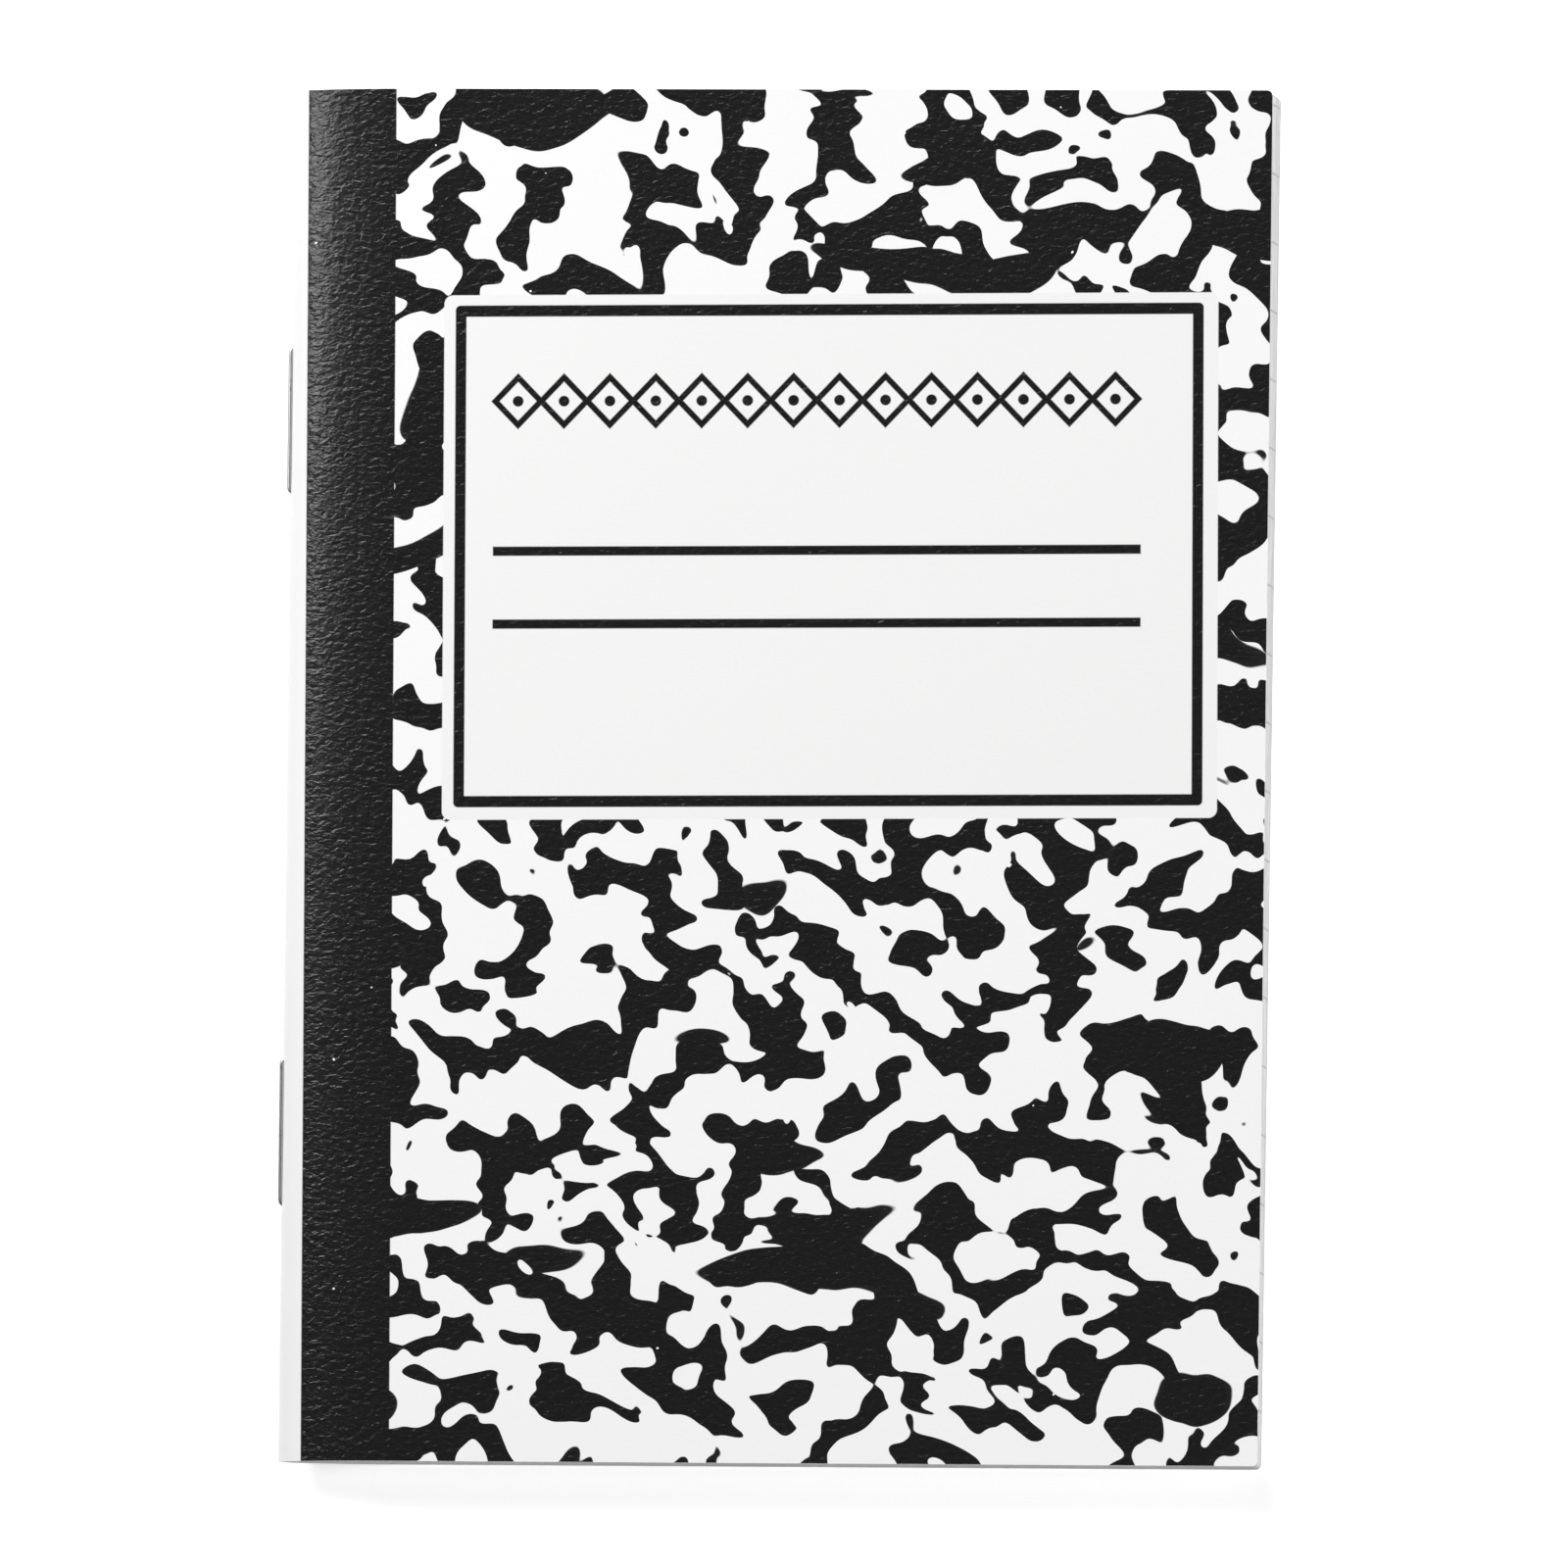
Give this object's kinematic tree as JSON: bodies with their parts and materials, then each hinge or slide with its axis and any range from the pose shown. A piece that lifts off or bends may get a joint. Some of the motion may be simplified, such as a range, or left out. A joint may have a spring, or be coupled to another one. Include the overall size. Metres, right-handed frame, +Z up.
{
  "type": "composition notebook",
  "caption": "Small closed notebook: a folded card cover with marbled print and a blank ruled label round a stitched block of ruled leaves. Each cover hinges open at a crease beside the fold.",
  "frame": {"origin": "middle of the closed book's footprint, on the surface that it lies on", "axes": "+X from the folded spine to the fore edge, +Y to the head, +Z up through the front cover"},
  "size_m": [0.0916, 0.127, 0.006],
  "materials": {
    "printed_card": "white card, printed black, satin",
    "ruled_paper": "matt writing paper",
    "staple_wire": "bright drawn wire"
  },
  "bodies": {
    "bound_leaves": {"page_block": "ruled_paper", "cover_spine": "printed_card", "upper_staple": "staple_wire", "lower_staple": "staple_wire"},
    "front_board": {"front_cover": "printed_card"},
    "back_board": {"back_cover": "printed_card"}
  },
  "joints": [
    {"name": "front_cover_hinge", "type": "hinge", "parent": "bound_leaves", "child": "front_board", "pos_m": [-0.04306, 0, 0.00488], "axis": [0, -1, 0], "range_deg": [0, 179]},
    {"name": "back_cover_hinge", "type": "hinge", "parent": "bound_leaves", "child": "back_board", "pos_m": [-0.04306, 0, 0.00112], "axis": [0, 1, 0], "range_deg": [0, 179]}
  ]
}
